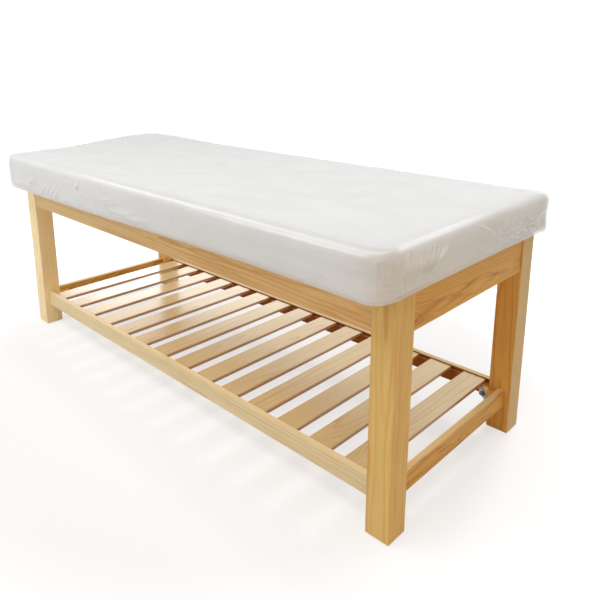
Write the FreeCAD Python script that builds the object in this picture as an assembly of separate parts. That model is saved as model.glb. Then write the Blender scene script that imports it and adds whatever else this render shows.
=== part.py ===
import FreeCAD, Part
import math
import os

Vector = FreeCAD.Vector

# Bed frame, measured over the outer faces of the legs
frame_length = 1870.0
frame_width = 690.0
frame_height = 624.0

# Legs of square pine
leg_width = 70.0
leg_edge_radius = 4.0
foot_chamfer = 3.0

# Top rails, close to flush with the legs
top_rail_height = 100.0
top_rail_thickness = 22.0
top_rail_setback = 5.0
top_tenon_haunch = 20.0
top_tenon_foot = 12.0

# Shelf rails, set back further
shelf_top = 141.0
shelf_rail_height = 57.0
shelf_rail_thickness = 20.0
shelf_rail_setback = 20.0
shelf_tenon_foot = 7.0

# Tenons and their mortises
tenon_length = 25.0
tenon_cheek = 5.0
tenon_drop_under_groove = 4.0
mortise_spare_depth = 1.0
glue_line = 0.15
rail_edge_ease = 2.0

# Shelf slats, whose ends lie in grooves of the long shelf rails
slat_count = 14
slat_width = 77.0
slat_thickness = 12.0
slat_drop = 4.0
slat_end_gap = 54.5
slat_edge_ease = 1.5
groove_depth = 8.0
slat_end_play = 0.5
slat_face_play = 0.15

# Deck board under the mattress, with the strips and the bearer that carry it
deck_thickness = 15.0
deck_edge_play = 1.0
deck_corner_cut = 3.0
ledger_width = 20.0
ledger_height = 30.0
ledger_end_play = 1.5
ledger_edge_ease = 1.5
bearer_thickness = 28.0
bearer_height = 70.0
bearer_edge_ease = 2.0

# Corner blocks, notched round the legs
block_reach_past_leg = 14.0
block_edge_chamfer = 1.5
shelf_block_height = 30.0
top_block_height = 60.0

# Corner plates on the long slanted faces of the blocks
plate_thickness = 2.0
plate_length = 64.0
plate_height = 26.0
plate_corner_cut = 5.0

# Hanger bolts with their nuts
bolt_diameter = 8.0
bolt_hole_play = 0.5
bolt_pilot_play = 0.1
bolt_depth_in_leg = 32.0
bolt_spare_depth = 1.0
bolt_reach_past_nut = 5.0
bolt_tip_chamfer = 1.0
nut_across_flats = 13.0
nut_thickness = 6.5
nut_sides = 6

# Mattress with its cover, measured over the clear film that wraps it
mattress_end_overhang = 15.0
mattress_side_overhang = 69.0
mattress_side_height = 120.0
mattress_crown = 5.0
mattress_corner_radius = 72.0
mattress_top_edge = 44.0
mattress_bottom_edge = 20.0
side_draw = 3.0
crown_run = 130.0
film_wall = 0.3
cover_wall = 1.2
wrap_play = 0.3
edge_turn_steps = 3
waist_steps = 2
crown_steps = 1

# Clean run-through of every cutter, and how far off line an edge may be to count as along a direction
overrun = 5.0
off_line_share = 0.001

# Places that follow from the sizes above
half_length = frame_length / 2
half_width = frame_width / 2
leg_inner_x = half_length - leg_width
leg_inner_y = half_width - leg_width
top_rail_bottom = frame_height - top_rail_height
shelf_rail_bottom = shelf_top - shelf_rail_height
shelf_inner_x = half_length - shelf_rail_setback - shelf_rail_thickness
shelf_inner_y = half_width - shelf_rail_setback - shelf_rail_thickness
top_inner_x = half_length - top_rail_setback - top_rail_thickness
top_inner_y = half_width - top_rail_setback - top_rail_thickness
slat_top = shelf_top - slat_drop
slat_bottom = slat_top - slat_thickness
deck_bottom = frame_height - deck_thickness
block_diagonal = 2 * leg_width + block_reach_past_leg * math.sqrt(2)
shelf_block_bottom = slat_bottom - shelf_block_height
top_block_bottom = deck_bottom - top_block_height
shelf_bolt_height = shelf_block_bottom + shelf_block_height / 2
top_bolt_height = top_block_bottom + top_block_height / 2
mattress_reach_x = half_length + mattress_end_overhang
mattress_reach_y = half_width + mattress_side_overhang
mattress_height = mattress_side_height + mattress_crown


def block_between(x0, x1, y0, y1, z0, z1):
    return Part.makeBox(x1 - x0, y1 - y0, z1 - z0, Vector(x0, y0, z0))


def edges_along(shape, direction):
    found = []
    for edge in shape.Edges:
        run = edge.Vertexes[-1].Point - edge.Vertexes[0].Point
        if run.Length > 0 and run.cross(direction).Length < run.Length * off_line_share:
            found.append(edge)
    return found


def eased_bar(x0, x1, y0, y1, z0, z1, direction, ease):
    bar = block_between(x0, x1, y0, y1, z0, z1)
    return bar.makeChamfer(ease, edges_along(bar, direction))


def mirrored_x(shape):
    return shape.mirror(Vector(0, 0, 0), Vector(1, 0, 0))


def mirrored_y(shape):
    return shape.mirror(Vector(0, 0, 0), Vector(0, 1, 0))


def at_four_corners(shape):
    right = {"back_right": shape, "front_right": mirrored_y(shape)}
    left = {"back_left": mirrored_x(shape), "front_left": mirrored_x(right["front_right"])}
    return {**right, **left}


def write(name, shape):
    shape.exportStep("parts/" + name + ".step")


def write_group(name, corner_shapes):
    write(name, Part.makeCompound(list(corner_shapes.values())))


# Rails with a tenon at each end

def long_tenon_span(thickness, setback):
    outer = half_width - setback - tenon_cheek
    return outer - (thickness - 2 * tenon_cheek), outer


def end_tenon_span(thickness, setback):
    outer = half_length - setback - tenon_cheek
    return outer - (thickness - 2 * tenon_cheek), outer


def long_rail(thickness, setback, bottom, top, tenon_bottom, tenon_top):
    outer = half_width - setback
    body = eased_bar(-leg_inner_x, leg_inner_x, outer - thickness, outer, bottom, top,
                     Vector(1, 0, 0), rail_edge_ease)
    y0, y1 = long_tenon_span(thickness, setback)
    reach = leg_inner_x + tenon_length
    return body.fuse(block_between(-reach, reach, y0, y1, tenon_bottom, tenon_top)).removeSplitter()


def end_rail(thickness, setback, bottom, top, tenon_bottom, tenon_top):
    outer = half_length - setback
    body = eased_bar(outer - thickness, outer, -leg_inner_y, leg_inner_y, bottom, top,
                     Vector(0, 1, 0), rail_edge_ease)
    x0, x1 = end_tenon_span(thickness, setback)
    reach = leg_inner_y + tenon_length
    return body.fuse(block_between(x0, x1, -reach, reach, tenon_bottom, tenon_top)).removeSplitter()


def top_tenon_heights():
    return top_rail_bottom + top_tenon_foot, frame_height - top_tenon_haunch


def shelf_tenon_heights():
    return shelf_rail_bottom + shelf_tenon_foot, slat_bottom - tenon_drop_under_groove


def slat_groove():
    return block_between(-leg_inner_x - overrun, leg_inner_x + overrun,
                         shelf_inner_y - overrun, shelf_inner_y + groove_depth,
                         slat_bottom - slat_face_play, slat_top + slat_face_play)


def write_rails():
    top_sizes = (top_rail_thickness, top_rail_setback, top_rail_bottom, frame_height,
                 *top_tenon_heights())
    back = long_rail(*top_sizes)
    right = end_rail(*top_sizes)
    write("top_rail_back", back)
    write("top_rail_front", mirrored_y(back))
    write("top_rail_right", right)
    write("top_rail_left", mirrored_x(right))
    shelf_sizes = (shelf_rail_thickness, shelf_rail_setback, shelf_rail_bottom, shelf_top,
                   *shelf_tenon_heights())
    back = long_rail(*shelf_sizes).cut(slat_groove())
    right = end_rail(*shelf_sizes)
    write("shelf_rail_back", back)
    write("shelf_rail_front", mirrored_y(back))
    write("shelf_rail_right", right)
    write("shelf_rail_left", mirrored_x(right))


# Legs with their mortises and the pilot holes of the hanger bolts

def mortises(thickness, setback, tenon_bottom, tenon_top):
    depth = tenon_length + mortise_spare_depth
    z0 = tenon_bottom - glue_line
    z1 = tenon_top + glue_line
    y0, y1 = long_tenon_span(thickness, setback)
    for_long_rail = block_between(leg_inner_x - overrun, leg_inner_x + depth,
                                  y0 - glue_line, y1 + glue_line, z0, z1)
    x0, x1 = end_tenon_span(thickness, setback)
    for_end_rail = block_between(x0 - glue_line, x1 + glue_line,
                                 leg_inner_y - overrun, leg_inner_y + depth, z0, z1)
    return [for_long_rail, for_end_rail]


def toward_leg():
    return Vector(1, 1, 0).normalize()


def corner_point(reach, height):
    along = toward_leg() * reach
    return Vector(leg_inner_x, leg_inner_y, height) + along


def corner_rod(diameter, start, end, height):
    return Part.makeCylinder(diameter / 2, end - start, corner_point(start, height), toward_leg())


def pilot_hole(height):
    return corner_rod(bolt_diameter + 2 * bolt_pilot_play, -overrun,
                      bolt_depth_in_leg + bolt_spare_depth, height)


def leg():
    post = block_between(leg_inner_x, half_length, leg_inner_y, half_width, 0, frame_height)
    post = post.makeFillet(leg_edge_radius, edges_along(post, Vector(0, 0, 1)))
    sole = [edge for edge in post.Edges if edge.BoundBox.ZMax < foot_chamfer]
    post = post.makeChamfer(foot_chamfer, sole)
    cutters = mortises(top_rail_thickness, top_rail_setback, *top_tenon_heights())
    cutters += mortises(shelf_rail_thickness, shelf_rail_setback, *shelf_tenon_heights())
    cutters += [pilot_hole(top_bolt_height), pilot_hole(shelf_bolt_height)]
    return post.cut(cutters)


def write_legs():
    for corner, shape in at_four_corners(leg()).items():
        write("leg_" + corner, shape)


# Shelf slats

def slat(centre):
    reach = shelf_inner_y + groove_depth - slat_end_play
    return eased_bar(centre - slat_width / 2, centre + slat_width / 2, -reach, reach,
                     slat_bottom, slat_top, Vector(0, 1, 0), slat_edge_ease)


def write_slats():
    first = -shelf_inner_x + slat_end_gap + slat_width / 2
    pitch = -2 * first / (slat_count - 1)
    for index in range(slat_count):
        write("shelf_slat_{:02d}".format(index + 1), slat(first + index * pitch))


# Deck board, its ledger strips and the bearer at mid length

def deck_board():
    rim_x = top_inner_x - deck_edge_play
    rim_y = top_inner_y - deck_edge_play
    notch_x = leg_inner_x - deck_edge_play
    notch_y = leg_inner_y - deck_edge_play
    along = block_between(-rim_x, rim_x, -notch_y, notch_y, deck_bottom, frame_height)
    across = block_between(-notch_x, notch_x, -rim_y, rim_y, deck_bottom, frame_height)
    board = along.fuse(across).removeSplitter()
    return board.makeChamfer(deck_corner_cut, edges_along(board, Vector(0, 0, 1)))


def write_deck():
    write("deck_board", deck_board())
    block_wing = block_diagonal - top_rail_setback - top_rail_thickness
    reach_x = half_length - block_wing - ledger_end_play
    reach_y = half_width - block_wing - ledger_end_play
    ledger_bottom = deck_bottom - ledger_height
    back = eased_bar(-reach_x, reach_x, top_inner_y - ledger_width, top_inner_y,
                     ledger_bottom, deck_bottom, Vector(1, 0, 0), ledger_edge_ease)
    right = eased_bar(top_inner_x - ledger_width, top_inner_x, -reach_y, reach_y,
                      ledger_bottom, deck_bottom, Vector(0, 1, 0), ledger_edge_ease)
    bearer = eased_bar(-bearer_thickness / 2, bearer_thickness / 2, -top_inner_y, top_inner_y,
                       deck_bottom - bearer_height, deck_bottom, Vector(0, 1, 0), bearer_edge_ease)
    notch = block_between(-bearer_thickness, bearer_thickness, top_inner_y - ledger_width,
                          top_inner_y + overrun, ledger_bottom, deck_bottom + overrun)
    write("deck_bearer", bearer.cut([notch, mirrored_y(notch)]))
    write("deck_ledger_back", back)
    write("deck_ledger_front", mirrored_y(back))
    write("deck_ledger_right", right)
    write("deck_ledger_left", mirrored_x(right))


# Corner blocks with their plates, bolts and nuts

def corner_block(rail_inner, bottom, top, bolt_height):
    wing = block_diagonal - rail_inner
    places = [(wing, rail_inner), (rail_inner, wing), (rail_inner, leg_width),
              (leg_width, leg_width), (leg_width, rail_inner)]
    corners = [Vector(half_length - u, half_width - v, bottom) for u, v in places]
    outline = Part.makePolygon(corners + corners[:1])
    prism = Part.Face(outline).extrude(Vector(0, 0, top - bottom))
    slanted = max(prism.Faces, key=lambda face: face.normalAt(0, 0).dot(-toward_leg()))
    level = [edge for edge in slanted.Edges if edge.BoundBox.ZLength < block_edge_chamfer]
    prism = prism.makeChamfer(block_edge_chamfer, level)
    hole = corner_rod(bolt_diameter + 2 * bolt_hole_play, -block_reach_past_leg - overrun,
                      overrun, bolt_height)
    return prism.cut(hole)


def corner_plate(bolt_height):
    plate = block_between(0, plate_thickness, -plate_length / 2, plate_length / 2,
                          -plate_height / 2, plate_height / 2)
    plate = plate.makeChamfer(plate_corner_cut, edges_along(plate, Vector(1, 0, 0)))
    bore = Part.makeCylinder(bolt_diameter / 2 + bolt_hole_play, plate_thickness + 2 * overrun,
                             Vector(-overrun, 0, 0), Vector(1, 0, 0))
    return seated(plate.cut(bore), -block_reach_past_leg - plate_thickness, bolt_height)


def seated(shape, reach, height):
    turn = FreeCAD.Rotation(Vector(1, 0, 0), toward_leg())
    shape.Placement = FreeCAD.Placement(corner_point(reach, height), turn)
    return shape


def nut_outer_end():
    return -block_reach_past_leg - plate_thickness - nut_thickness


def hanger_bolt(height):
    rod = corner_rod(bolt_diameter, nut_outer_end() - bolt_reach_past_nut, bolt_depth_in_leg, height)
    tip = min(rod.Faces, key=lambda face: face.CenterOfMass.dot(toward_leg()))
    return rod.makeChamfer(bolt_tip_chamfer, tip.Edges)


def nut(height):
    radius = nut_across_flats / 2 / math.cos(math.pi / nut_sides)
    points = []
    for index in range(nut_sides + 1):
        turn = 2 * math.pi * index / nut_sides
        points.append(Vector(0, radius * math.cos(turn), radius * math.sin(turn)))
    hexagon = Part.Face(Part.makePolygon(points)).extrude(Vector(nut_thickness, 0, 0))
    bore = Part.makeCylinder(bolt_diameter / 2 + bolt_pilot_play, nut_thickness + 2 * overrun,
                             Vector(-overrun, 0, 0), Vector(1, 0, 0))
    return seated(hexagon.cut(bore), nut_outer_end(), height)


def write_corner_fittings():
    levels = {
        "shelf": (shelf_rail_setback + shelf_rail_thickness, shelf_block_bottom, slat_bottom,
                  shelf_bolt_height),
        "top": (top_rail_setback + top_rail_thickness, top_block_bottom, deck_bottom,
                top_bolt_height),
    }
    for level, (rail_inner, bottom, top, bolt_height) in levels.items():
        block = corner_block(rail_inner, bottom, top, bolt_height)
        for corner, shape in at_four_corners(block).items():
            write(level + "_block_" + corner, shape)
        write_group(level + "_corner_plates", at_four_corners(corner_plate(bolt_height)))
        write_group(level + "_corner_bolts", at_four_corners(hanger_bolt(bolt_height)))
        write_group(level + "_corner_nuts", at_four_corners(nut(bolt_height)))


# Mattress with a crowned top, turned edges and sides that draw in

def level_outline(inset, height):
    x = mattress_reach_x - inset
    y = mattress_reach_y - inset
    radius = mattress_corner_radius
    diagonal = radius * (1 - math.sqrt(2) / 2)
    edges = []
    for sign_x, sign_y in ((1, 1), (-1, 1), (-1, -1), (1, -1)):
        on_end = Vector(sign_x * x, sign_y * (y - radius), height)
        on_side = Vector(sign_x * (x - radius), sign_y * y, height)
        middle = Vector(sign_x * (x - diagonal), sign_y * (y - diagonal), height)
        start, end = (on_end, on_side) if sign_x == sign_y else (on_side, on_end)
        if edges:
            edges.append(Part.LineSegment(edges[-1].Vertexes[-1].Point, start).toShape())
        edges.append(Part.Arc(start, middle, end).toShape())
    edges.append(Part.LineSegment(edges[-1].Vertexes[-1].Point, edges[0].Vertexes[0].Point).toShape())
    return Part.Wire(edges)


def turned(share):
    return math.pi / 2 * share


def side_levels():
    levels = []
    for step in range(edge_turn_steps):
        turn = turned(step / edge_turn_steps)
        levels.append((mattress_bottom_edge * (1 - math.sin(turn)),
                       mattress_bottom_edge * (1 - math.cos(turn))))
    straight = mattress_side_height - mattress_bottom_edge - mattress_top_edge
    for step in range(waist_steps + 1):
        share = step / waist_steps
        levels.append((side_draw * math.sin(math.pi * share) ** 2,
                       mattress_bottom_edge + straight * share))
    for step in range(1, edge_turn_steps + 1):
        turn = turned(step / edge_turn_steps)
        levels.append((mattress_top_edge * (1 - math.cos(turn)),
                       mattress_side_height - mattress_top_edge * (1 - math.sin(turn))))
    return levels


def crown_levels():
    levels = []
    for step in range(1, crown_steps + 1):
        fall = 1 - step / crown_steps
        levels.append((mattress_top_edge + crown_run * step / crown_steps,
                       mattress_side_height + mattress_crown * (1 - fall * fall)))
    return levels


def cushion(depth):
    squeeze = (mattress_height - 2 * depth) / mattress_height
    outlines = []
    for inset, height in side_levels() + crown_levels():
        outlines.append(level_outline(inset + depth, frame_height + depth + height * squeeze))
    return Part.makeLoft(outlines, True, True)


def write_mattress():
    cover_depth = film_wall + wrap_play
    foam_depth = cover_depth + cover_wall + wrap_play
    write("film_wrap", cushion(0).cut(cushion(film_wall)))
    write("mattress_cover", cushion(cover_depth).cut(cushion(cover_depth + cover_wall)))
    write("mattress_foam", cushion(foam_depth))


os.makedirs("parts", exist_ok=True)
write_legs()
write_rails()
write_slats()
write_deck()
write_corner_fittings()
write_mattress()
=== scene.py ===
import math
import random
from typing import NamedTuple

import bmesh
import bpy
import numpy as np
from mathutils import Euler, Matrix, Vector
from mathutils.kdtree import KDTree


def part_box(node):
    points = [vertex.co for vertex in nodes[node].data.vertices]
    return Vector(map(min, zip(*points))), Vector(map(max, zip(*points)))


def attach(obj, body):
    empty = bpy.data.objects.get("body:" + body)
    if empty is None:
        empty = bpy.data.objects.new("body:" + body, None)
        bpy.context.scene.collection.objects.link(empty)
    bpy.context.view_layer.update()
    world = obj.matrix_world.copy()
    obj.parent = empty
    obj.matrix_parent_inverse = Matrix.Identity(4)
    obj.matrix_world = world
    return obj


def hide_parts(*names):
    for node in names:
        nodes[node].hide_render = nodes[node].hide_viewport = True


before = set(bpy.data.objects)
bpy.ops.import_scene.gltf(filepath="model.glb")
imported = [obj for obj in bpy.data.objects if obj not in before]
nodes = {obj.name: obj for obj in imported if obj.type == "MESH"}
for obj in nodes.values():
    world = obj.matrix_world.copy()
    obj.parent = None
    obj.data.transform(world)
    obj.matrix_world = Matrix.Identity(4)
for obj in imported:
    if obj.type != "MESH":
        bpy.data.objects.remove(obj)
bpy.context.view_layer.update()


# Camera, from the photograph's own perspective

PHOTO_PIXELS = 600
CAMERA_PLACE = (1.6158, -1.3652, 1.1213)
CAMERA_YAW = math.radians(46.19)
CAMERA_PITCH = math.radians(-13.66)
FOCAL_PIXELS = 609.27
CENTRE_PIXEL = (296.88, 206.62)
SENSOR = 36.0


def add_camera():
    data = bpy.data.cameras.new("camera")
    data.sensor_width = SENSOR
    data.lens = SENSOR * FOCAL_PIXELS / PHOTO_PIXELS
    data.shift_x = 0.5 - CENTRE_PIXEL[0] / PHOTO_PIXELS
    data.shift_y = CENTRE_PIXEL[1] / PHOTO_PIXELS - 0.5
    camera = bpy.data.objects.new("camera", data)
    bpy.context.collection.objects.link(camera)
    level = math.cos(CAMERA_PITCH)
    forward = Vector((-math.cos(CAMERA_YAW) * level, math.sin(CAMERA_YAW) * level,
                      math.sin(CAMERA_PITCH)))
    camera.location = CAMERA_PLACE
    camera.rotation_mode = "QUATERNION"
    camera.rotation_quaternion = forward.to_track_quat("-Z", "Y")
    bpy.context.scene.camera = camera


# Colours and nodes

BLACK = (0, 0, 0, 1)
WHITE = (1, 1, 1, 1)


def grey(level):
    return (level, level, level, 1)


def linear(red, green, blue):
    """A colour given as on a screen, from 0 to 255, turned into its linear values."""
    def one(value):
        value = value / 255
        return value / 12.92 if value <= 0.04045 else ((value + 0.055) / 1.055) ** 2.4
    return (one(red), one(green), one(blue), 1.0)


def lightened(colour, lightness):
    return [channel * lightness for channel in linear(*colour)[:3]] + [1]


class NodeTree:
    """A node tree, put together step by step."""

    def __init__(self, tree):
        self.tree = tree

    def feed(self, socket, value):
        if isinstance(value, bpy.types.NodeSocket):
            self.tree.links.new(value, socket)
        else:
            socket.default_value = value

    def node(self, kind, inputs, **settings):
        made = self.tree.nodes.new(kind)
        for name, value in settings.items():
            setattr(made, name, value)
        for socket, value in inputs.items():
            self.feed(made.inputs[socket], value)
        return made

    def place(self, rotation=(0, 0, 0), location=(0, 0, 0)):
        coordinates = self.node("ShaderNodeTexCoord", {}).outputs["Object"]
        turned = {"Vector": coordinates, "Rotation": rotation, "Location": location}
        return self.node("ShaderNodeMapping", turned).outputs["Vector"]

    def scaled(self, vector, scale):
        return self.node("ShaderNodeMapping", {"Vector": vector, "Scale": scale}).outputs["Vector"]

    def parts(self, vector):
        return self.node("ShaderNodeSeparateXYZ", {0: vector}).outputs

    def facing(self):
        return self.parts(self.node("ShaderNodeTexCoord", {}).outputs["Normal"])

    def noise(self, vector, scale=1.0, detail=3.0, roughness=0.5, distortion=0.0, output="Fac"):
        inputs = {"Vector": vector, "Scale": scale, "Detail": detail, "Roughness": roughness,
                  "Distortion": distortion}
        return self.node("ShaderNodeTexNoise", inputs).outputs[output]

    def cells(self, vector, scale=1.0, feature="F1"):
        made = self.node("ShaderNodeTexVoronoi", {}, feature=feature)
        self.feed(made.inputs["Vector"], vector)
        self.feed(made.inputs["Scale"], scale)
        return made.outputs["Distance"]

    def ramp(self, factor, stops):
        made = self.node("ShaderNodeValToRGB", {"Fac": factor})
        elements = made.color_ramp.elements
        while len(elements) < len(stops):
            elements.new(0.5)
        for element, (position, colour) in zip(elements, stops):
            element.position = position
            element.color = colour
        return made.outputs["Color"]

    def rising(self, factor, low, high):
        return self.ramp(factor, [(low, BLACK), (high, WHITE)])

    def falling(self, factor, low, high):
        return self.ramp(factor, [(low, WHITE), (high, BLACK)])

    def mix(self, factor, first, second, blend="MIX"):
        inputs = {"Factor": factor, 6: first, 7: second}
        return self.node("ShaderNodeMix", inputs, data_type="RGBA", blend_type=blend).outputs[2]

    def mix_shaders(self, factor, first, second):
        return self.node("ShaderNodeMixShader", {0: factor, 1: first, 2: second}).outputs[0]

    def span(self, value, low, high):
        inputs = {"Value": value, "To Min": low, "To Max": high}
        return self.node("ShaderNodeMapRange", inputs).outputs["Result"]

    def bump(self, height, distance, strength=1.0, before=None):
        made = self.node("ShaderNodeBump", {"Height": height, "Distance": distance, "Strength": strength})
        if before is not None:
            self.feed(made.inputs["Normal"], before)
        return made.outputs["Normal"]

    def math(self, operation, *values):
        return self.node("ShaderNodeMath", dict(enumerate(values)), operation=operation).outputs[0]

    def vector(self, operation, *values):
        made = self.node("ShaderNodeVectorMath", dict(enumerate(values)), operation=operation)
        return made.outputs["Value" if operation == "LENGTH" else "Vector"]

    def seen_directly(self):
        """1 for what is seen straight, mirrored or through the film, and 0 for light that scatters."""
        ray = self.node("ShaderNodeLightPath", {}).outputs
        first = self.math("MAXIMUM", ray["Is Camera Ray"], ray["Is Glossy Ray"])
        return self.math("MAXIMUM", first, ray["Is Transmission Ray"])


class Shader(NodeTree):
    """A material with its surface and its output."""

    def __init__(self, name):
        self.material = bpy.data.materials.new(name)
        self.material.use_nodes = True
        super().__init__(self.material.node_tree)
        self.bsdf = self.tree.nodes["Principled BSDF"]
        self.output = self.tree.nodes["Material Output"]

    def surface(self, values):
        for name, value in values.items():
            self.feed(self.bsdf.inputs[name], value)


# Pine: growth rings round a pith that lies beside each board, a little askew to it

class Tone(NamedTuple):
    """One kind of board: its early and late wood, ring width, bends, dark patches, lines and lacquer."""
    early: tuple
    late: tuple
    ring: float
    wander: float
    bends_per_metre: tuple = (2.4, 8.0, 8.0)
    flame: float = 0.25
    lines: float = 1.0
    plain_sawn: bool = False
    coat: float = 0.03
    coat_ior: float = 1.5


PINE_TONES = {
    "leg": Tone((246, 213, 136), (212, 146, 66), ring=0.0065, wander=0.016, flame=0.3),
    # lit_leg: paler tone as painted light, for the stronger light at the left
    "lit_leg": Tone((250, 230, 186), (226, 188, 128), ring=0.0065, wander=0.016),
    # shaded_leg: darker tone as painted shade under the mattress; its face towards +x gets painted light
    "shaded_leg": Tone((236, 182, 98), (190, 120, 48), ring=0.0065, wander=0.016),
    "rail": Tone((252, 212, 148), (206, 140, 74), ring=0.0062, wander=0.018, flame=0.35),
    "end_rail": Tone((240, 188, 96), (168, 98, 26), ring=0.0046, wander=0.026,
                     bends_per_metre=(4.5, 9.0, 9.0), flame=0.8, lines=0.6),
    # shaded_rail: its face towards the front gets painted shade
    "shaded_rail": Tone((246, 228, 186), (212, 174, 116), ring=0.0060, wander=0.018),
    "lower_rail": Tone((246, 228, 186), (212, 174, 116), ring=0.0062, wander=0.016),
    "slat": Tone((240, 223, 178), (218, 182, 122), ring=0.0070, wander=0.016, flame=0.15,
                 plain_sawn=True, coat=1.0, coat_ior=1.65),
    "block": Tone((236, 192, 116), (200, 138, 62), ring=0.0060, wander=0.016),
}
# Painted shade on the slats' side faces
SLAT_SIDE_SHADE = (180, 108, 48)
SLAT_SIDE_SHADE_SHARE = 0.7
SLAT_SIDE_SHADE_FACING = (0.3, 0.6)
# Painted shade on the slats towards their front ends
SLAT_FRONT_SHADE = (186, 138, 70)
SLAT_FRONT_SHADE_SHARE = 0.4
SLAT_FRONT_SHADE_RUN = (0.45, 0.8)
# Painted shade for an inner face
PAINTED_SHADE_INNER_FACE = (182, 110, 50)
# Painted light for lit faces: the back right leg's face towards +x and the left part of the long rails
PAINTED_LIGHT_FACE = (228, 206, 152)
PAINTED_LIGHT_LEG_SHARE = 0.6
PAINTED_LIGHT_RAIL_SHARE = 0.5
PAINTED_LIGHT_RAIL_RUN = (0.35, 0.95)
PAINTED_LIGHT_TOP_SHARE = 0.5
FACING_RUN = (0.5, 0.8)
# Per-board lightness; 1.18 on leg_front_left is painted light, for the stronger light at the left
BOARD_LIGHTNESS_WITH_PAINTED_LIGHT = {"leg_front_left": 1.18, "leg_back_right": 1.0, "leg_front_right": 0.97,
                   "shelf_rail_right": 1.0}
LIGHTNESS_RANGE = (0.95, 1.05)
GRAIN_TURN = {
    "x": (0, 0, 0),
    "y": (0, 0, math.radians(-90)),
    "z": (0, math.radians(90), 0),
}
PITH_AWAY = (0.028, 0.075)
PITH_OFF_LINE = 0.025
PITH_SKEW = 0.05
SHIFT_ALONG = 3
KNOTTY_SHARE = 0.4
KNOTS_PER_METRE = (2.2, 4.5, 4.5)
KNOT_SWELL = 2.4
KNOT_REACH = 0.15
KNOT_HEART = (0.022, 0.05)
KNOT_COLOUR = (120, 62, 22)
KNOT_DARKNESS = 0.8
PACES_PER_METRE = (0.3, 30.0, 30.0)
PACE_CHANGE = 1.6
FAINTEST_YEAR = 0.35
RING_PROFILE = [(0.0, grey(0.25)), (0.06, BLACK), (0.50, grey(0.07)), (0.80, grey(0.42)), (0.93, WHITE),
                (1.0, grey(0.30))]
CLOUDS_PER_METRE = (1.6, 9.0, 9.0)
CLOUD_SHARE = 0.4
CLOUD_TONE = 0.45
FLAMES_PER_METRE = (3.5, 30.0, 30.0)
FLAME_EDGE = (0.50, 0.68)
FIBRES_PER_METRE = (9.0, 520.0, 520.0)
FIBRE_SHARE = 0.14
RING_RELIEF = 0.00025
FIBRE_RELIEF = 0.0002


def board_space(shader, draw, wood, turn, middle):
    """Place along the grain in x, and round the pith in y and z."""
    turn = Euler([angle + draw.uniform(-PITH_SKEW, PITH_SKEW) for angle in turn])
    aside = [draw.choice((-1, 1)) * draw.uniform(*PITH_AWAY), draw.uniform(-PITH_OFF_LINE, PITH_OFF_LINE)]
    if wood.plain_sawn:
        aside.reverse()
    pith = Vector((draw.uniform(-SHIFT_ALONG, SHIFT_ALONG), *aside)) - turn.to_matrix() @ middle
    return shader.place(rotation=turn, location=pith)


def growth_rings(shader, board, wood, knot, knotty):
    """Share of late wood: it grows through each year, differs from year to year and bends round knots."""
    drift = shader.noise(shader.scaled(board, wood.bends_per_metre), detail=2.5, output="Color")
    bent = shader.vector("MULTIPLY_ADD", drift, (0, wood.wander, wood.wander), board)
    radius = shader.vector("LENGTH", shader.vector("MULTIPLY", bent, (0, 1, 1)))
    apart = shader.math("POWER", shader.math("DIVIDE", knot, KNOT_REACH), 2.0)
    nearness = shader.math("EXPONENT", shader.math("MULTIPLY", apart, -1.0))
    years = shader.math("DIVIDE", radius, wood.ring)
    years = shader.math("MULTIPLY_ADD", nearness, KNOT_SWELL * knotty, years)
    pace = shader.noise(shader.scaled(board, PACES_PER_METRE), detail=1.0)
    years = shader.math("MULTIPLY_ADD", pace, PACE_CHANGE, years)
    year = shader.node("ShaderNodeTexWhiteNoise", {}, noise_dimensions="1D")
    shader.feed(year.inputs["W"], shader.math("FLOOR", years))
    weight = shader.span(year.outputs["Value"], FAINTEST_YEAR * wood.lines, wood.lines)
    profile = shader.ramp(shader.math("FRACT", years), RING_PROFILE)
    return shader.math("MULTIPLY", profile, weight)


def grown_colour(shader, board, wood, lightness, late_share, fibre):
    """Early and late wood, with clouds, darker patches and fine fibres."""
    early = lightened(wood.early, lightness)
    late = lightened(wood.late, lightness)
    colour = shader.mix(late_share, early, late)
    cloud = shader.noise(shader.scaled(board, CLOUDS_PER_METRE), detail=2.0)
    colour = shader.mix(shader.span(cloud, 0.0, CLOUD_SHARE), colour, shader.mix(CLOUD_TONE, early, late))
    flame = shader.noise(shader.scaled(board, FLAMES_PER_METRE), roughness=0.6, distortion=0.8)
    patch = shader.math("MULTIPLY", shader.rising(flame, *FLAME_EDGE), wood.flame)
    colour = shader.mix(patch, colour, late)
    return shader.mix(shader.span(fibre, 0.0, FIBRE_SHARE), colour, late)


def tinted(shader, colour, mask, share, tint):
    return shader.mix(shader.math("MULTIPLY", mask, share), colour, linear(*tint))


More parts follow.
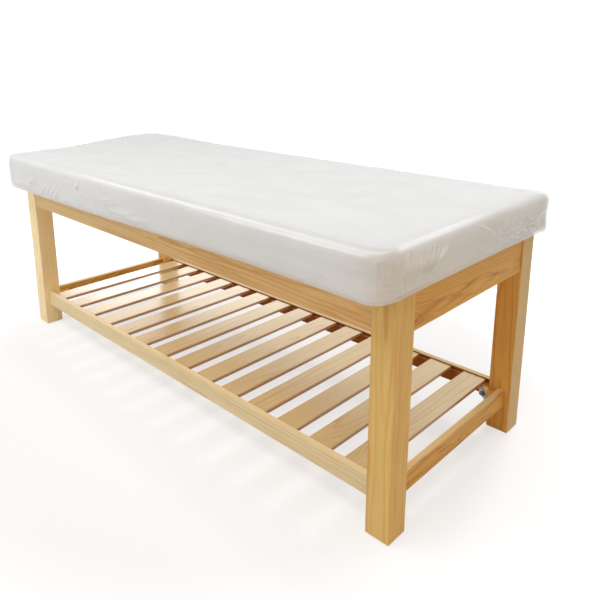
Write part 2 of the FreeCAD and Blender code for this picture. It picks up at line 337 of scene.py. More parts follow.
def face_colour(shader, tone, colour):
    """Painted light and shade: faces and ends made paler or darker than the rest of the board, as light
    falls on them.
    """
    facing = shader.facing()
    place = shader.parts(shader.place())
    if tone == "shaded_rail":
        # Painted shade: the face towards the front, under the slats, is darkened
        front = shader.rising(shader.math("MULTIPLY", facing["Y"], -1.0), *FACING_RUN)
        return shader.mix(front, colour, linear(*PAINTED_SHADE_INNER_FACE), "MULTIPLY")
    if tone == "end_rail":
        # Painted light: upward faces are made paler, as if lit from above
        upper = shader.rising(facing["Z"], *FACING_RUN)
        return tinted(shader, colour, upper, PAINTED_LIGHT_TOP_SHARE, PINE_TONES["lower_rail"].early)
    if tone == "slat":
        # Painted shade: darker towards the front ends, and on the side faces
        front = shader.rising(shader.math("SUBTRACT", 0.5, place["Y"]), *SLAT_FRONT_SHADE_RUN)
        shaded_sides = shader.falling(shader.math("ABSOLUTE", facing["Z"]), *SLAT_SIDE_SHADE_FACING)
        colour = tinted(shader, colour, front, SLAT_FRONT_SHADE_SHARE, SLAT_FRONT_SHADE)
        return tinted(shader, colour, shaded_sides, SLAT_SIDE_SHADE_SHARE, SLAT_SIDE_SHADE)
    if tone == "shaded_leg":
        # Painted light: the face towards +x is made paler, as if lit
        lit_outer_face = shader.rising(facing["X"], *FACING_RUN)
        return tinted(shader, colour, lit_outer_face, PAINTED_LIGHT_LEG_SHARE, PAINTED_LIGHT_FACE)
    if tone == "rail":
        # Painted light: paler towards the left end, as if lit more strongly there
        left = shader.rising(shader.math("MULTIPLY_ADD", place["X"], -0.5, 0.5), *PAINTED_LIGHT_RAIL_RUN)
        return tinted(shader, colour, left, PAINTED_LIGHT_RAIL_SHARE, PAINTED_LIGHT_FACE)
    return colour


def pine(name, tone, grain, seed, middle, lightness):
    draw = random.Random(seed)
    shader = Shader(name)
    wood = PINE_TONES[tone]
    board = board_space(shader, draw, wood, GRAIN_TURN[grain], middle)
    knotty = 1.0 if draw.random() < KNOTTY_SHARE else 0.0
    knot = shader.cells(shader.scaled(board, KNOTS_PER_METRE))
    late_share = growth_rings(shader, board, wood, knot, knotty)
    fibre = shader.noise(shader.scaled(board, FIBRES_PER_METRE), roughness=0.6)
    colour = grown_colour(shader, board, wood, lightness, late_share, fibre)
    heart = shader.falling(knot, *KNOT_HEART)
    colour = tinted(shader, colour, heart, KNOT_DARKNESS * knotty, KNOT_COLOUR)
    smoother = shader.math("MULTIPLY", late_share, 0.1)
    relief = shader.bump(late_share, RING_RELIEF, 0.5)
    shader.surface({
        "Base Color": face_colour(shader, tone, colour),
        "Roughness": shader.math("SUBTRACT", shader.span(fibre, 0.36, 0.48), smoother),
        "Specular IOR Level": 0.08,
        "Coat Weight": wood.coat,
        "Coat IOR": wood.coat_ior,
        "Coat Roughness": 0.2,
        "Normal": shader.bump(fibre, FIBRE_RELIEF, 0.4, relief),
    })
    return shader.material


# Plywood, zinc plated steel, coated cloth and film

VENEER_PER_METRE = (1.2, 14.0, 14.0)
PLY_THICKNESS = 0.003
PLY_EDGE = (170, 128, 80)
WAVE_PERIOD = 2 * math.pi / 20
SPANGLES_PER_METRE = 260.0
PEBBLES_PER_METRE = 900.0
CREASES_PER_METRE = (11.0, 11.0, 38.0)
CREASE_BENDS_PER_METRE = (6.0, 6.0, 14.0)
CREASE_BEND = (0.05, 0.05, 0.03)
FILM_OPACITY = 0.6


def plywood(name):
    shader = Shader(name)
    board = shader.place()
    veneer = shader.scaled(board, VENEER_PER_METRE)
    face = shader.noise(veneer, detail=4.0, roughness=0.55, distortion=0.6)
    colour = shader.ramp(face, [(0.3, linear(206, 172, 122)), (0.5, linear(224, 196, 150)),
                                (0.72, linear(232, 208, 166))])
    plies = shader.node("ShaderNodeTexWave", {"Vector": board, "Scale": WAVE_PERIOD / PLY_THICKNESS},
                        wave_type="BANDS", bands_direction="Z", wave_profile="SIN")
    shader.surface({
        "Base Color": shader.mix(shader.span(plies.outputs["Fac"], 0.0, 0.12), colour, linear(*PLY_EDGE)),
        "Roughness": 0.62,
        "Normal": shader.bump(face, 0.0002),
    })
    return shader.material


def zinc(name):
    shader = Shader(name)
    spangle = shader.noise(shader.place(), scale=SPANGLES_PER_METRE, detail=3.0, roughness=0.6)
    shader.surface({
        "Base Color": shader.ramp(spangle, [(0.3, linear(104, 102, 100)), (0.7, linear(150, 148, 146))]),
        "Metallic": 1.0,
        "Roughness": shader.span(spangle, 0.24, 0.4),
        "Normal": shader.bump(spangle, 0.00005),
    })
    return shader.material


def vinyl(name):
    shader = Shader(name)
    skin = shader.place()
    clouds = shader.noise(skin, scale=5.0)
    shader.surface({
        "Base Color": shader.ramp(clouds, [(0.35, linear(238, 237, 235)), (0.65, linear(243, 242, 240))]),
        "Roughness": shader.span(clouds, 0.5, 0.6),
        "Specular IOR Level": 0.3,
        "Normal": shader.bump(shader.cells(skin, scale=PEBBLES_PER_METRE), 0.00008),
    })
    return shader.material


def fine_creases(shader, skin):
    """Height of creases too fine for the mesh, in some regions of the upright sides."""
    drift = shader.noise(shader.scaled(skin, CREASE_BENDS_PER_METRE), detail=2.0, output="Color")
    bent = shader.vector("MULTIPLY_ADD", drift, CREASE_BEND, skin)
    apart = shader.cells(shader.scaled(bent, CREASES_PER_METRE), feature="DISTANCE_TO_EDGE")
    crest = shader.ramp(apart, [(0.0, WHITE), (0.05, grey(0.35)), (0.13, BLACK)])
    region = shader.rising(shader.noise(skin, scale=7.0, detail=1.0), 0.44, 0.60)
    upright = shader.math("SUBTRACT", 1.0, shader.math("ABSOLUTE", shader.facing()["Z"]))
    return shader.math("MULTIPLY", shader.math("MULTIPLY", crest, region), upright)


def clear_film(name):
    shader = Shader(name)
    skin = shader.place()
    smear = shader.noise(skin, scale=9.0, detail=2.0)
    shader.surface({
        "Base Color": shader.ramp(smear, [(0.35, linear(243, 242, 240)), (0.65, linear(246, 246, 245))]),
        "Roughness": shader.span(smear, 0.17, 0.22),
        "Alpha": FILM_OPACITY,
        "Specular IOR Level": 0.9,
        "Normal": shader.bump(fine_creases(shader, skin), 0.0012, 0.45),
    })
    return shader.material


# Materials of the frame's pieces

def dress(node, material):
    for slot in nodes[node].material_slots:
        slot.material = material


def dress_pine(node, tone, grain, seed):
    low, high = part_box(node)
    lightness = BOARD_LIGHTNESS_WITH_PAINTED_LIGHT.get(node, random.Random(node).uniform(*LIGHTNESS_RANGE))
    dress(node, pine("pine_" + node, tone, grain, seed, (low + high) / 2, lightness))


def dress_frame():
    for index, name in enumerate(sorted(nodes)):
        lengthways = name.endswith(("front", "back"))
        if name.startswith("leg_"):
            # Painted shade on leg_back_right and painted light on leg_front_left, through their tones
            tone = {"leg_back_right": "shaded_leg", "leg_front_left": "lit_leg"}.get(name, "leg")
            dress_pine(name, tone, "z", index)
        elif "_rail_" in name and lengthways:
            # shelf_rail_back gets painted shade on its face towards the front
            tone = {"shelf_rail_front": "lower_rail", "shelf_rail_back": "shaded_rail"}.get(name, "rail")
            dress_pine(name, tone, "x", index)
        elif "_rail_" in name:
            dress_pine(name, "end_rail", "y", index)
        elif name.startswith("shelf_slat"):
            dress_pine(name, "slat", "y", index)
        elif "_ledger_" in name:
            dress_pine(name, "block", "x" if lengthways else "y", index)
        elif name == "deck_bearer":
            dress_pine(name, "block", "y", index)
        elif "_block_" in name:
            dress_pine(name, "block", "z", index)
    dress("deck_board", plywood("plywood"))
    metal = zinc("zinc_steel")
    for level in ("shelf", "top"):
        for kind in ("plates", "bolts", "nuts"):
            dress(level + "_corner_" + kind, metal)


# Mattress form: a box grid whose edges are turned, with sides that draw in and a crowned top

PLAN_RADIUS = 0.066
BACK_PLAN_RADIUS = 0.028
LEFT_PLAN_RADIUS = 0.046
TOP_EDGE = 0.027
FAR_TOP_EDGE = 0.020
FAR_EDGE_FROM = -0.4
FAR_EDGE_RUN = 0.5
BOTTOM_EDGE = 0.013
SIDE_DRAW = 0.003
CROWN = 0.005
CROWN_RUN = 0.36
FILM_GAP = 0.0025
TUCK_UNDER = 0.12
PAD_CELL = 0.010
PAD_CELL_UP = 0.008
FILM_CELL = 0.008
FILM_CELL_UP = 0.006
LEAST_LENGTH = 1e-9

# The cover's swelling as cloth, and the most that it may move

SWELL_CELL = 0.014
SWELL_FRAMES = 10
SWELL_QUALITY = 4
SWELL_PRESSURE = 0.25
SWELL_LIMIT = 0.0035
SWELL_ROOM = 0.003
VINYL_STIFFNESS = 40
CARRIED_BY = 24

# The lower edge hangs beyond the frame's long sides, and the left end stands up a little

OVERHANG_SAG = 0.012
SAG_CHANGE = 0.006
SAG_LENGTH = 2.2
SAG_RUN = 0.05
SAG_HEIGHT = 0.10
SAG_END_RUN = 0.06
LIFT_PLACE = (-0.95, 0.24)
LIFT_RUN = 0.20
LIFT_SPREAD_FRONT = 0.33
LIFT_SPREAD_BACK = 0.13
LIFT_HEIGHT = 0.12
LIFT_RISE = 0.029
LIFT_OUTWARD = 0.011


def grid_lines(half, cell):
    return np.linspace(-half, half, round(2 * half / cell) + 1)


def box_lines(half_x, half_y, height, cell, cell_up):
    up = grid_lines(height / 2, cell_up) + height / 2
    return grid_lines(half_x, cell), grid_lines(half_y, cell), up


def box_grid(lines):
    """Points and outward quads of a box cut by three sets of lines."""
    counts = [len(along) - 1 for along in lines]
    index = {}
    points = []
    faces = []

    def corner(grid):
        if grid not in index:
            index[grid] = len(points)
            points.append([along[step] for along, step in zip(lines, grid)])
        return index[grid]

    for axis in range(3):
        first, second = [other for other in range(3) if other != axis]
        for side in (0, counts[axis]):
            for a in range(counts[first]):
                for b in range(counts[second]):
                    quad = []
                    for step_a, step_b in ((0, 0), (1, 0), (1, 1), (0, 1)):
                        grid = [0, 0, 0]
                        grid[axis] = side
                        grid[first] = a + step_a
                        grid[second] = b + step_b
                        quad.append(corner(tuple(grid)))
                    outward = (side > 0) != (axis == 1)
                    faces.append(quad if outward else quad[::-1])
    return np.array(points), np.array(faces)


def rounded_plan(x, y, half_x, half_y):
    """Places with round corners in plan, their insets from the side and their outward directions."""
    radius = np.where(x < 0, LEFT_PLAN_RADIUS, np.where(y < 0, PLAN_RADIUS, BACK_PLAN_RADIUS))
    over_x = np.maximum(np.abs(x) - (half_x - radius), 0)
    over_y = np.maximum(np.abs(y) - (half_y - radius), 0)
    in_corner = (over_x > 0) & (over_y > 0)
    longest = np.maximum(over_x, over_y)
    length = np.maximum(np.hypot(over_x, over_y), LEAST_LENGTH)
    to_x = half_x - np.abs(x)
    to_y = half_y - np.abs(y)
    inset = np.maximum(np.where(in_corner, radius - longest, np.minimum(to_x, to_y)), 0)
    away_x = np.where(in_corner, over_x / length, to_x <= to_y) * np.sign(x)
    away_y = np.where(in_corner, over_y / length, to_x > to_y) * np.sign(y)
    x = np.where(in_corner, np.sign(x) * (half_x - radius + over_x / length * longest), x)
    y = np.where(in_corner, np.sign(y) * (half_y - radius + over_y / length * longest), y)
    return x, y, inset, away_x, away_y


def edge_turn(along_side, along_face, radius):
    """Inset and height, from the sharp edge, of points near an edge of the given radius."""
    turning = (along_side < radius) & (along_face < radius)
    angle = np.where(along_face <= 0, math.pi / 4 * (1 - along_side / radius),
                     math.pi / 4 * (1 + along_face / radius))
    return turning, radius * (1 - np.cos(angle)), radius * (1 - np.sin(angle))


def cushion_points(points, half_x, half_y, height):
    """The box's points on the cushion, drawn in a little to leave its cover room to swell."""
    x, y, z = points.T.copy()
    far_share = np.clip((FAR_EDGE_FROM - x / half_x) / FAR_EDGE_RUN, 0, 1)
    top_edge = TOP_EDGE + (FAR_TOP_EDGE - TOP_EDGE) * far_share
    x, y, inset, away_x, away_y = rounded_plan(x, y, half_x, half_y)
    turned_inset = inset.copy()
    turned_z = z.copy()
    near, moved, dropped = edge_turn(height - z, inset, top_edge)
    turned_inset = np.where(near, moved, turned_inset)
    turned_z = np.where(near, height - dropped, turned_z)
    near, moved, dropped = edge_turn(z, inset, BOTTOM_EDGE)
    turned_inset = np.where(near, moved, turned_inset)
    turned_z = np.where(near, dropped, turned_z)
    rise = np.clip((turned_z - BOTTOM_EDGE) / (height - BOTTOM_EDGE - TOP_EDGE), 0, 1)
    turned_inset = turned_inset + SIDE_DRAW * np.sin(math.pi * rise) ** 2 * (inset <= 0)
    x = x - away_x * (turned_inset - inset)
    y = y - away_y * (turned_inset - inset)
    bow = np.clip(inset / CROWN_RUN, 0, 1)
    turned_z = turned_z + (CROWN - SWELL_LIMIT) * np.sin(math.pi / 2 * bow) ** 2 * (z >= height)
    drawn_x = x * (1 - SWELL_ROOM / half_x * (1 - (y / half_y) ** 4))
    drawn_y = y * (1 - SWELL_ROOM / half_y * (1 - (x / half_x) ** 4))
    return np.stack([drawn_x, drawn_y, turned_z], axis=1)


def smoothed(points, faces, times):
    """Points drawn towards their neighbours, so that no edge starts or ends at a line."""
    ends = np.concatenate([faces[:, [side, (side + 1) % 4]] for side in range(4)])
    count = np.bincount(ends[:, 0], minlength=len(points))[:, None]
    for _ in range(times):
        total = np.zeros_like(points)
        for axis in range(3):
            total[:, axis] = np.bincount(ends[:, 0], points[ends[:, 1], axis], minlength=len(points))
        points = 0.5 * points + 0.5 * total / count
    return points


def fitted(points, half_x, half_y, height):
    """Points stretched so that they fill the box again."""
    points = points * np.array([half_x, half_y, 1]) / np.abs(points).max(axis=0)
    low, high = points[:, 2].min(), points[:, 2].max()
    points[:, 2] = (points[:, 2] - low) * height / (high - low)
    return points


def cushion(half_x, half_y, height, cell, cell_up, times):
    """Points and faces of the cushion, smoothed so many times, before its cover swells."""
    points, faces = box_grid(box_lines(half_x, half_y, height, cell, cell_up))
    points = smoothed(cushion_points(points, half_x, half_y, height), faces, times)
    return fitted(points, half_x, half_y, height + CROWN - SWELL_LIMIT), faces


# Meshes

def mesh_object(name, points, faces, material):
    mesh = bpy.data.meshes.new(name)
    mesh.from_pydata(points.tolist(), [], faces.tolist())
    mesh.update()
    mesh.shade_smooth()
    mesh.materials.append(material)
    made = bpy.data.objects.new(name, mesh)
    bpy.context.collection.objects.link(made)
    return made


def halve_cells(piece, wanted):
    """Cut each edge in two where wanted says so of both its ends, given as place and normal."""
    form = bmesh.new()
    form.from_mesh(piece.data)
    form.normal_update()
    chosen = {vertex for vertex in form.verts if wanted(vertex.co, vertex.normal)}
    edges = [edge for edge in form.edges if edge.verts[0] in chosen and edge.verts[1] in chosen]
    bmesh.ops.subdivide_edges(form, edges=edges, cuts=1, use_grid_fill=True)
    form.to_mesh(piece.data)
    form.free()


def open_underneath(piece, reach_x, reach_y):
    """The sheet ends under the pad: its middle part there is left out."""
    form = bmesh.new()
    form.from_mesh(piece.data)
    middle = []
    for face in form.faces:
        place = face.calc_center_median()
        if place.z < BOTTOM_EDGE / 8 and abs(place.x) < reach_x and abs(place.y) < reach_y:
            middle.append(face)
    bmesh.ops.delete(form, geom=middle, context="FACES")
    form.to_mesh(piece.data)
    form.free()


def read_points(mesh):
    points = np.empty(len(mesh.vertices) * 3)
    mesh.vertices.foreach_get("co", points)
    normals = np.empty(len(mesh.vertices) * 3)
    mesh.vertex_normals.foreach_get("vector", normals)
    return points.reshape(-1, 3), normals.reshape(-1, 3)


def write_points(mesh, points):
    mesh.vertices.foreach_set("co", points.ravel())
    mesh.update()


def evaluated_mesh(piece):
    return bpy.data.meshes.new_from_object(piece.evaluated_get(bpy.context.evaluated_depsgraph_get()))


# Swelling, sag and lift

def even_cells(pad):
    even = pad.modifiers.new("even", "REMESH")
    even.mode = "VOXEL"
    even.voxel_size = SWELL_CELL
    even.use_smooth_shade = True
    pad.data = evaluated_mesh(pad)
    pad.modifiers.clear()


def pressed_cloth(pad, rest):
    """How far each point moves when the cover is cloth under the foam's pressure."""
    cloth = pad.modifiers.new("cover", "CLOTH")
    cloth.settings.quality = SWELL_QUALITY
    cloth.settings.tension_stiffness = VINYL_STIFFNESS
    cloth.settings.compression_stiffness = VINYL_STIFFNESS
    cloth.settings.shear_stiffness = VINYL_STIFFNESS / 2
    cloth.settings.use_pressure = True
    cloth.settings.uniform_pressure_force = SWELL_PRESSURE
    cloth.settings.effector_weights.gravity = 0
    for step in range(1, SWELL_FRAMES + 1):
        bpy.context.scene.frame_set(step)
    shift = read_points(evaluated_mesh(pad))[0] - rest
    pad.modifiers.clear()
    bpy.context.scene.frame_set(1)
    return shift


def swell(pad):
    """The pad's faces swell, its edges hold, and its underside stays flat."""
    even_cells(pad)
    rest = read_points(pad.data)[0]
    shift = np.zeros_like(rest)
    shift = pressed_cloth(pad, rest)
    length = np.maximum(np.linalg.norm(shift, axis=1), LEAST_LENGTH)
    off_deck = np.clip((rest[:, 2] - rest[:, 2].min()) / BOTTOM_EDGE, 0, 1)
    shift *= (np.minimum(1, SWELL_LIMIT / length) * off_deck)[:, None]
    write_points(pad.data, rest + shift)
    pad.modifiers.new("finer", "SUBSURF").levels = 1
    pad.data = evaluated_mesh(pad)
    pad.modifiers.clear()
    return rest, shift


def carried(points, rest, shift):
    """Points moved by the mean shift of what lies nearest to each."""
    tree = KDTree(len(rest))
    for index, place in enumerate(rest):
        tree.insert(place, index)
    tree.balance()
    moved = points.copy()
    for row, place in enumerate(points):
        near = tree.find_n(place, CARRIED_BY)
        weights = np.array([math.exp(-(apart / SWELL_CELL / 2) ** 2) for _, _, apart in near])
        moved[row] += weights @ shift[[index for _, index, _ in near]] / weights.sum()
    return moved


def overhang_sag(points, frame_y):
    """Beyond the frame's long sides nothing carries the mattress, and its lower edge hangs a little."""
    beyond = np.clip((np.abs(points[:, 1]) - frame_y) / SAG_RUN, 0, 1)
    lower = np.clip(1 - points[:, 2] / SAG_HEIGHT, 0, 1)
    lower *= np.clip((np.abs(points[:, 0]).max() - np.abs(points[:, 0])) / SAG_END_RUN, 0, 1)
    depth = OVERHANG_SAG - SAG_CHANGE * np.sin(2 * math.pi * points[:, 0] / SAG_LENGTH)
    sunk = points.copy()
    sunk[:, 2] -= depth * beyond ** 2 * (3 - 2 * beyond) * lower
    return sunk


def left_end_lift(points):
    """The end away from the camera stands up a little towards its back corner."""
    x, y, z = points.T
    spread = np.where(y < LIFT_PLACE[1], LIFT_SPREAD_FRONT, LIFT_SPREAD_BACK)
    hump = np.exp(-((x - LIFT_PLACE[0]) / LIFT_RUN) ** 2 - ((y - LIFT_PLACE[1]) / spread) ** 2)
    upper = np.clip(z / LIFT_HEIGHT, 0, 1)
    lifted = points.copy()
    lifted[:, 2] += LIFT_RISE * hump * upper
    lifted[:, 0] -= LIFT_OUTWARD * hump * upper
    return lifted


# Creases of the film: each is a ridge along a line on the mattress, tapered at its ends

CREASE_SEED = 11
RIPPLE_SEED = 5
FOLD_BEND = 0.006
RIDGE_SHAPE = 1.5
RIDGE_TAPER = 0.6
RIDGE_END = 0.06
RIPPLE = 0.0003
RIPPLE_LENGTH = 0.10


class Creases:
    """How far the film stands off at each point. Heights on the sides are lengths below the top."""

    def __init__(self, points, front, right, top):
        self.points = points
        self.front = front
        self.right = right
        self.top = top
        self.rise = np.zeros(len(points))
        self.draw = random.Random(CREASE_SEED)

    def ridge(self, start, end, rise, width, bend=0.0):
        start = np.array(start)
        line = np.array(end) - start
        length = np.linalg.norm(line)
        line = line / length
        offset = self.points - start
        along = offset @ line
        side = offset - along[:, None] * line
        share = np.clip(along / length, 0, 1)
        if bend:
            side[:, 2] -= bend * np.sin(math.pi * share)
        beyond = np.maximum(np.maximum(-along, along - length), 0)
        apart = np.hypot(np.linalg.norm(side, axis=1), beyond)
        taper = np.sin(math.pi * np.clip(share, RIDGE_END, 1 - RIDGE_END)) ** RIDGE_TAPER
        self.rise += rise * np.exp(-(apart / width) ** RIDGE_SHAPE) * taper

    def right_end(self, y, below):
        return (self.right, y, self.top - below)

    def front_side(self, x, below):
        return (x, self.front, self.top - below)

    def fold(self, place, along, length, slope, rise, width):
        """A short fold of random length and slope; along is the level direction of its side."""
        half = self.draw.uniform(*length) / 2
        angle = math.radians(self.draw.gauss(*slope))
        reach = half * math.cos(angle) * np.array(along) + half * math.sin(angle) * np.array([0, 0, 1])
        self.ridge(place - reach, place + reach, self.draw.uniform(*rise), self.draw.uniform(*width),
                   self.draw.uniform(-FOLD_BEND, FOLD_BEND))

    def fan_near_corner(self, count=10):
        """Sharp folds on the right end that lean more and more towards the back, and five beside them."""
        for step in range(count):
            share = step / (count - 1)
            angle = math.radians(64 - 30 * share)
            length = 0.05 + 0.035 * share
            y = -0.335 + 0.160 * share + self.draw.uniform(-0.004, 0.004)
            below = 0.022 + 0.008 * share
            foot = self.right_end(y - length * math.cos(angle), below + length * math.sin(angle))
            head = self.right_end(y, below)
            self.ridge(foot, head, rise=self.draw.uniform(0.0092, 0.0116), width=0.0035)
        for step in range(5):
            y = -0.360 + 0.016 * step
            foot = self.right_end(y - 0.012, 0.092)
            head = self.right_end(y, 0.030)
            self.ridge(foot, head, rise=self.draw.uniform(0.0050, 0.0066), width=0.0033)

    def near_corner(self):
        """Upright folds round the near corner, and two level ones beside it."""
        corner_x = self.right - PLAN_RADIUS
        corner_y = self.front + PLAN_RADIUS
        for step, degrees in enumerate((-58, -46, -34, -22, -10)):
            angle = math.radians(degrees)
            x = corner_x + PLAN_RADIUS * math.cos(angle)
            y = corner_y + PLAN_RADIUS * math.sin(angle)
            low = self.top - 0.095 + 0.01 * (step % 2)
            end = (x, y, self.top - 0.028)
            self.ridge((x, y, low), end, rise=self.draw.uniform(0.0022, 0.0034), width=0.0038)
        for below in (0.070, 0.084):
            start = (self.right - 0.035, self.front + 0.004, self.top - below)
            self.ridge(start, self.right_end(self.front + 0.05, below), rise=0.0018, width=0.0035)

    def right_end_middle(self):
        """Three long folds in the middle of the right end."""
        self.ridge(self.right_end(-0.040, 0.012), self.right_end(0.060, 0.056), rise=0.0050, width=0.0034)
        self.ridge(self.right_end(0.052, 0.064), self.right_end(0.105, 0.082), rise=0.0042, width=0.0032)
        self.ridge(self.right_end(-0.034, 0.066), self.right_end(0.004, 0.096), rise=0.0044, width=0.0034)

    def right_end_back(self):
        """Many short folds towards the back of the right end."""
        for _ in range(26):
            y = self.draw.uniform(0.085, 0.315)
            place = self.right_end(y, self.draw.uniform(0.034, 0.108))
            self.fold(place, (0, 1, 0), length=(0.035, 0.075), slope=(-4, 12), rise=(0.0028, 0.0046),
                      width=(0.0026, 0.0036))

    def front_middle(self):
        """Long level folds near the middle of the front side."""
        for start_x, reach, below, bend in ((-0.225, 0.13, 0.055, 0.006), (-0.205, 0.12, 0.064, 0.008),
                                            (-0.15, 0.17, 0.080, 0.008), (-0.06, 0.15, 0.090, 0.005),
                                            (-0.36, 0.03, 0.040, 0.006)):
            end = self.front_side(start_x + reach, below - 0.004)
            self.ridge(self.front_side(start_x, below), end, rise=0.0060, width=0.0075, bend=-bend)

    def front_left(self):
        """Two rows of slanted folds at the left of the front side."""
        for step in range(6):
            x = -0.885 + 0.028 * step
            end = self.front_side(x + 0.05, 0.085 - 0.004 * step)
            self.ridge(self.front_side(x, 0.118), end, rise=0.0075, width=0.009, bend=0.006)
        for step in range(4):
            x = -0.63 + 0.035 * step
            end = self.front_side(x + 0.045, 0.070)
            self.ridge(self.front_side(x, 0.105), end, rise=0.0050, width=0.008)

    def front_right(self):
        """Three long weak folds at the right of the front side."""
        for step in range(3):
            x = 0.56 + 0.07 * step
            start = self.front_side(x, 0.060 + 0.006 * step)
            self.ridge(start, self.front_side(x + 0.14, 0.090), rise=0.0010, width=0.012)

    def scattered(self):
        """Soft short folds at the front side's left, all along the back side and on the left end."""
        soft = {"length": (0.04, 0.12), "slope": (0, 18), "rise": (0.0010, 0.0026),
                "width": (0.006, 0.009)}
        for y, from_x, to_x, count in ((self.front, -0.85, -0.2, 10), (-self.front, -0.85, 0.85, 24)):
            for _ in range(count):
                x = self.draw.uniform(from_x, to_x)
                place = (x, y, self.top - self.draw.uniform(0.045, 0.115))
                self.fold(place, (1, 0, 0), **soft)
        for _ in range(14):
            y = self.draw.uniform(-0.33, 0.33)
            place = (-self.right, y, self.top - self.draw.uniform(0.03, 0.11))
            self.fold(place, (0, 1, 0), length=(0.05, 0.11), slope=(0, 25), rise=(0.001, 0.003),
                      width=(0.005, 0.008))

    def top_waves(self):
        """Wide waves at the left of the top, and fine lines at its back right."""
        for start, end in (((-0.60, -0.352), (-0.38, -0.345)), ((-0.50, -0.315), (-0.24, -0.318)),
                           ((-0.84, -0.13), (-0.60, -0.22)), ((-0.80, -0.24), (-0.52, -0.27)),
                           ((-0.42, -0.270), (-0.12, -0.290))):
            self.ridge((*start, self.top), (*end, self.top), rise=0.0024, width=0.017)
        for step in range(6):
            y = 0.245 + 0.024 * step
            start = (0.52 + 0.03 * (step % 3), y, self.top)
            end = (0.88 - 0.02 * (step % 2), y + 0.006, self.top)
            self.ridge(start, end, rise=0.0011, width=0.006)


def film_creases(points, front, right, top):
    creases = Creases(points, front, right, top)
    creases.fan_near_corner()
    creases.near_corner()
    creases.right_end_middle()
    creases.right_end_back()
    creases.front_middle()
    creases.front_left()
    creases.front_right()
    creases.scattered()
    creases.top_waves()
    return creases.rise


def undulation(points, seed, size, waves=9):
    draw = random.Random(seed)
    total = np.zeros(len(points))
    for _ in range(waves):
        turn = np.array([draw.gauss(0, 1), draw.gauss(0, 1), draw.gauss(0, 1.4)])
        total += np.sin(points @ (turn * 2 * math.pi / size) + draw.uniform(0, 2 * math.pi))
    return total / math.sqrt(waves)


# Pad and film

SIDE_FACING = 0.95
UPRIGHT_FACING = 0.75
CREASED_FACING = 0.1
CREASED_AT_RIGHT = 0.2
CREASED_LEFT_OF = 0.3
CREASED_OFF_BACK = 0.02
END_FACING = 0.5
END_HALF = 0.37
END_ABOVE = 0.02


def finer_where_creased(film, half_x, half_y):
    """Smaller cells on the sides, and smaller again where folds are drawn."""
    def side(place, normal):
        return abs(normal.z) < SIDE_FACING and place.z > BOTTOM_EDGE / 2

    def creased(place, normal):
        right_end = place.x > half_x - CREASED_AT_RIGHT and place.y < half_y - CREASED_OFF_BACK
        front_or_right = normal.x > CREASED_FACING or normal.y < -CREASED_FACING
        upright = abs(normal.z) < UPRIGHT_FACING and place.z > BOTTOM_EDGE / 2
        return upright and (right_end or place.x < CREASED_LEFT_OF) and front_or_right

    def fanned(place, normal):
        return normal.x > END_FACING and abs(place.y) < END_HALF and place.z > END_ABOVE

    for wanted in (side, creased, fanned):
        halve_cells(film, wanted)


def mattress():
    low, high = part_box("film_wrap")
    half_x = (high.x - low.x) / 2
    half_y = (high.y - low.y) / 2
    height = high.z - low.z - CROWN
    rest = np.array([0, 0, low.z])
    under_film = np.array([0, 0, FILM_GAP])
    frame_y = -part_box("leg_front_left")[0].y

    points, faces = cushion(half_x - FILM_GAP, half_y - FILM_GAP, height - 2 * FILM_GAP,
                            PAD_CELL, PAD_CELL_UP, times=3)
    pad = mesh_object("mattress_pad", points, faces, vinyl("white_vinyl"))
    still, shift = swell(pad)
    points = read_points(pad.data)[0] + under_film
    write_points(pad.data, left_end_lift(overhang_sag(points, frame_y)) + rest)

    points, faces = cushion(half_x, half_y, height, FILM_CELL, FILM_CELL_UP, times=2)
    points = smoothed(carried(points, still + under_film, shift), faces, 1)
    film = mesh_object("film_sheet", points, faces, clear_film("clear_film"))
    open_underneath(film, half_x - TUCK_UNDER, half_y - TUCK_UNDER)
    finer_where_creased(film, half_x, half_y)
    points, outward = read_points(film.data)
    off_deck = np.clip(points[:, 2] / BOTTOM_EDGE, 0, 1)[:, None]
    standing = film_creases(points + rest, -half_y, half_x, high.z - CROWN)
    standing += RIPPLE * (undulation(points, RIPPLE_SEED, RIPPLE_LENGTH) * (1 - outward[:, 2] ** 2))
    points = overhang_sag(points + outward * standing[:, None] * off_deck, frame_y)
    write_points(film.data, left_end_lift(points) + rest)
    return pad, film


# Floor and light

SHADOW_SHARE = 0.38
SHADOW_REACH = 0.95
FLOOR_LIGHT = 0.96
FLOOR_HALF = 14.0
WORLD_LIGHT = 0.155


def floor_material():
    """White to the camera except in the object's own soft shadow, and plain pale to all other light."""
    shader = Shader("pale_floor")
    shader.tree.nodes.remove(shader.bsdf)
    matte = shader.node("ShaderNodeBsdfDiffuse", {"Color": grey(0.8)})
    shown = shader.node("ShaderNodeBsdfDiffuse", {"Color": grey(SHADOW_SHARE)})
    glow = shader.node("ShaderNodeMapRange", {
        "Value": shader.vector("LENGTH", shader.place()),
        "From Min": SHADOW_REACH,
        "From Max": SHADOW_REACH * 2,
        "To Min": 1 - SHADOW_SHARE * FLOOR_LIGHT,
        "To Max": 1.0,
    })
    lit = shader.node("ShaderNodeEmission", {"Strength": glow.outputs["Result"]})
    both = shader.node("ShaderNodeAddShader", {0: shown.outputs[0], 1: lit.outputs[0]})
    surface = shader.mix_shaders(shader.seen_directly(), matte.outputs[0], both.outputs[0])
    shader.feed(shader.output.inputs["Surface"], surface)
    return shader.material


def add_floor():
    corners = [(-FLOOR_HALF, -FLOOR_HALF, 0), (FLOOR_HALF, -FLOOR_HALF, 0), (FLOOR_HALF, FLOOR_HALF, 0),
               (-FLOOR_HALF, FLOOR_HALF, 0)]
    mesh = bpy.data.meshes.new("floor")
    mesh.from_pydata(corners, [], [(0, 1, 2, 3)])
    mesh.materials.append(floor_material())
    floor = bpy.data.objects.new("floor", mesh)
    bpy.context.collection.objects.link(floor)


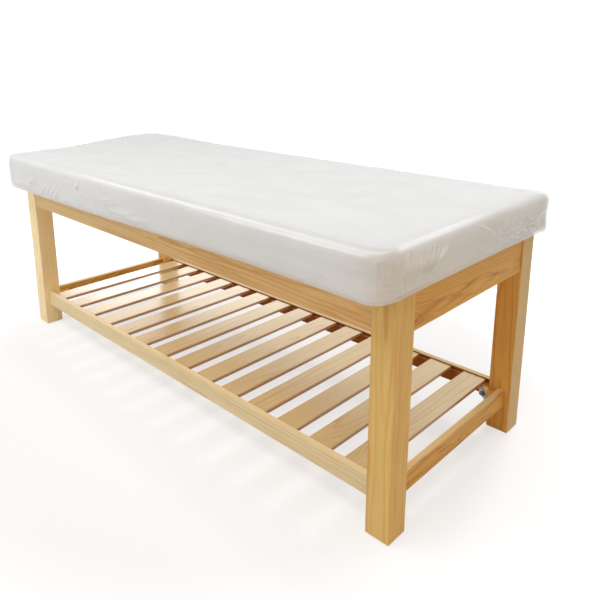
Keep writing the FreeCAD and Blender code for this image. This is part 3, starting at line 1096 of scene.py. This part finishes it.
def add_world():
    """White to the camera, and a weak even light on all else."""
    world = bpy.data.worlds.new("studio")
    bpy.context.scene.world = world
    world.use_nodes = True
    sky = NodeTree(world.node_tree)
    sky.tree.nodes.clear()
    soft = sky.node("ShaderNodeBackground", {"Color": WHITE, "Strength": WORLD_LIGHT})
    white = sky.node("ShaderNodeBackground", {"Color": WHITE, "Strength": 1.0})
    surface = sky.mix_shaders(sky.seen_directly(), soft.outputs[0], white.outputs[0])
    sky.node("ShaderNodeOutputWorld", {"Surface": surface})


def area_light(name, place, target, size, watts, colour=(1, 1, 1), mirrored=True):
    """A lamp at a place, turned to its target; unmirrored, it lights but shows in no reflection."""
    data = bpy.data.lights.new(name, "AREA")
    data.shape = "RECTANGLE"
    data.size, data.size_y = size
    data.energy = watts
    data.color = colour
    light = bpy.data.objects.new(name, data)
    light.location = place
    light.rotation_mode = "QUATERNION"
    light.rotation_quaternion = (Vector(target) - Vector(place)).to_track_quat("-Z", "Y")
    light.visible_glossy = mirrored
    bpy.context.collection.objects.link(light)


def add_lights():
    area_light("back", (0.4, 3.5, 2.3), (0.1, 0, 0.5), size=(2.4, 1.3), watts=12, mirrored=False)
    area_light("rim", (0.95, 2.0, 2.25), (0.9, 0, 0.75), size=(1.5, 0.7), watts=7.5)
    area_light("right", (1.70, 1.35, 2.2), (0.8, 0.8, 0.8), size=(1.3, 0.8), watts=5.6)
    area_light("corner", (1.45, -0.25, 3.3), (0.9, -0.3, 0.7), size=(1.0, 1.0), watts=16)
    area_light("window", (0.4, 3.3, 2.1), (0.1, 0, 0.3), size=(0.7, 0.5), watts=47, mirrored=False)
    area_light("strip", (-1.2, -1.25, 2.6), (-1.2, -0.5, 0.7), size=(5.6, 0.9), watts=44)
    area_light("low_back", (-1.25, 1.0, 0.58), (-0.3, -0.1, 0.14), size=(1.8, 0.3), watts=3.0)
    area_light("low_left", (-2.35, 0.8, 0.68), (-0.7, -0.2, 0.14), size=(0.7, 0.16), watts=2.6)
    area_light("front", (-1.5, -3.2, 2.2), (0.0, 0, 0.5), size=(2.4, 1.5), watts=38)
    area_light("left", (-3.4, -1.8, 1.4), (-0.9, -0.35, 0.5), size=(0.9, 0.9), watts=1.6,
               mirrored=False)
    area_light("warm", (2.65, -1.15, 0.5), (0.9, -0.2, 0.5), size=(0.7, 0.7), watts=7.2,
               colour=(1.0, 0.58, 0.14), mirrored=False)


bpy.context.scene.view_settings.view_transform = "Standard"
add_camera()
add_world()
add_floor()
add_lights()
dress_frame()
pad, film = mattress()
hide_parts("mattress_foam", "mattress_cover")
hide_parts("film_wrap")
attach(pad, "mattress")
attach(film, "mattress")
